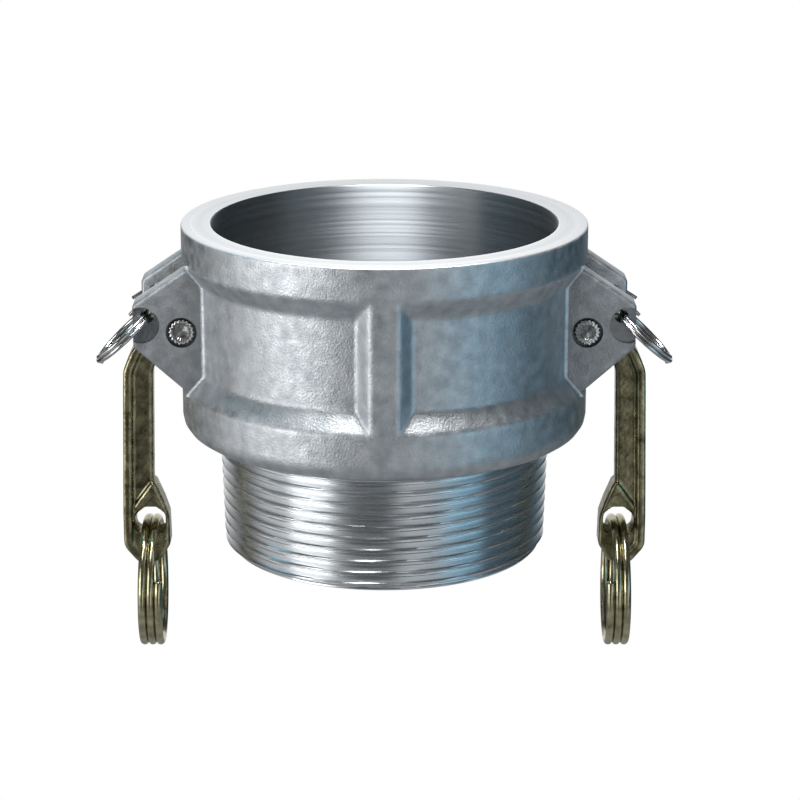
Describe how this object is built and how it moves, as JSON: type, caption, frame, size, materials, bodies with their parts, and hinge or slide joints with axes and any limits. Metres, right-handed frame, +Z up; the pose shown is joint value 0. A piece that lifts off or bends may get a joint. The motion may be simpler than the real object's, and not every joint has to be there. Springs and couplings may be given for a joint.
{
  "type": "cam and groove coupler",
  "caption": "Female cam and groove coupler with a male pipe thread, two hinged cam arms with finger rings, ears with lock rings, and a sealing gasket.",
  "frame": {"origin": "centre of the threaded end's face, on the coupler's axis", "axes": "+Z up the coupler's axis to the socket's mouth, +X to the right-hand cam arm, -Y to the ears' faces that carry the lock rings"},
  "size_m": [0.1536, 0.1094, 0.1201],
  "materials": {
    "cast_aluminium": "sand cast, satin, with machined rim, socket and thread",
    "nitrile_rubber": "moulded, matt",
    "forged_brass": "forged, dark golden patina",
    "steel": "turned, with a fluted rim",
    "finger_ring_wire": "yellow passivated spring wire",
    "stainless_wire": "polished spring wire"
  },
  "bodies": {
    "coupler": {"coupler_body": "cast_aluminium", "gasket": "nitrile_rubber", "pivot_pin_right": "steel", "pivot_pin_left": "steel", "safety_cotter_right": "stainless_wire", "safety_cotter_left": "stainless_wire"},
    "arm_right": {"cam_arm_right": "forged_brass"},
    "finger_ring_right": {"finger_ring_right": "finger_ring_wire"},
    "lock_ring_right": {"lock_ring_right": "stainless_wire"},
    "arm_left": {"cam_arm_left": "forged_brass"},
    "finger_ring_left": {"finger_ring_left": "finger_ring_wire"},
    "lock_ring_left": {"lock_ring_left": "stainless_wire"}
  },
  "joints": [
    {"name": "cam_arm_right_pivot", "type": "hinge", "parent": "coupler", "child": "arm_right", "pos_m": [0.0535, 0, 0.0632], "axis": [0, -1, 0], "range_deg": [0, 105]},
    {"name": "finger_ring_right_swing", "type": "hinge", "parent": "arm_right", "child": "finger_ring_right", "pos_m": [0.0643, 0, 0.0062], "axis": [0, -1, 0], "range_deg": [-60, 80]},
    {"name": "lock_ring_right_swing", "type": "hinge", "parent": "coupler", "child": "lock_ring_right", "pos_m": [0.0624, -0.0138, 0.0675], "axis": [0, -1, 0], "range_deg": [-25, 90]},
    {"name": "cam_arm_left_pivot", "type": "hinge", "parent": "coupler", "child": "arm_left", "pos_m": [-0.0535, 0, 0.0632], "axis": [0, 1, 0], "range_deg": [0, 105]},
    {"name": "finger_ring_left_swing", "type": "hinge", "parent": "arm_left", "child": "finger_ring_left", "pos_m": [-0.0643, 0, 0.0062], "axis": [0, 1, 0], "range_deg": [-60, 80]},
    {"name": "lock_ring_left_swing", "type": "hinge", "parent": "coupler", "child": "lock_ring_left", "pos_m": [-0.0624, -0.0138, 0.0675], "axis": [0, 1, 0], "range_deg": [-25, 90]}
  ]
}
